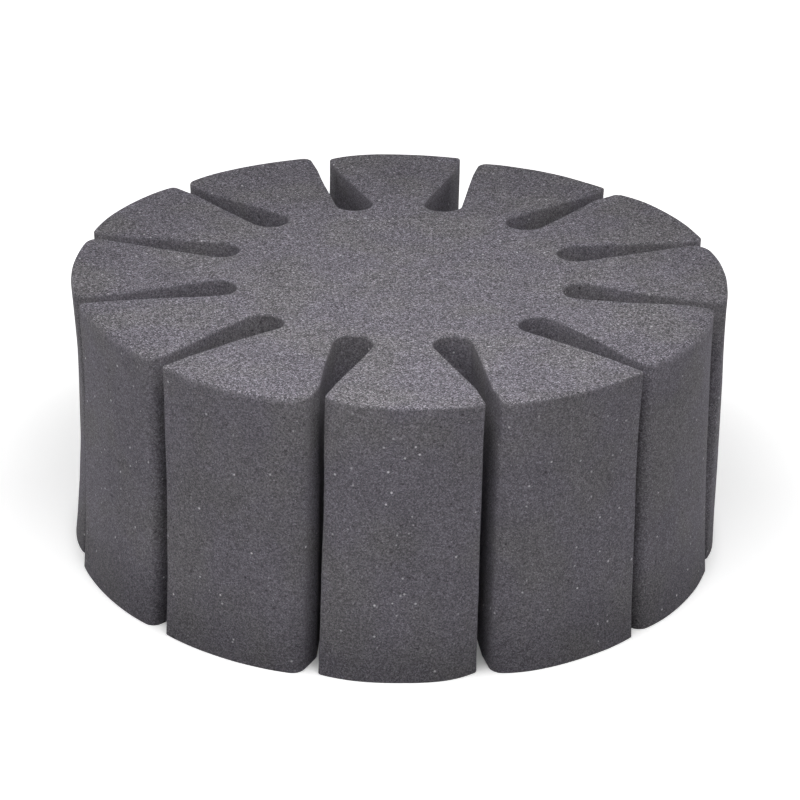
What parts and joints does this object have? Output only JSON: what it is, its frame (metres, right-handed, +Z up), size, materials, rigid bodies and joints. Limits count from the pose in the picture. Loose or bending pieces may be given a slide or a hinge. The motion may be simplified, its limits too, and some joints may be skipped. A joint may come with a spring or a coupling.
{
  "type": "polishing pad",
  "caption": "Round, thick closed-cell foam pad whose outer zone is parted by radial keyhole slots into flexible fingers that follow a curved surface.",
  "frame": {"origin": "centre of the lower flat face, on which the pad lies", "axes": "+Z up along the pad's axis, from the lower flat face to the upper one; the middle of a finger lies on -Y"},
  "size_m": [0.08, 0.08, 0.035],
  "materials": {
    "foam": "matt, cut faces of fine closed-cell foam with a slight purple cast"
  },
  "bodies": {
    "root": {"foam_pad": "foam"}
  },
  "joints": []
}
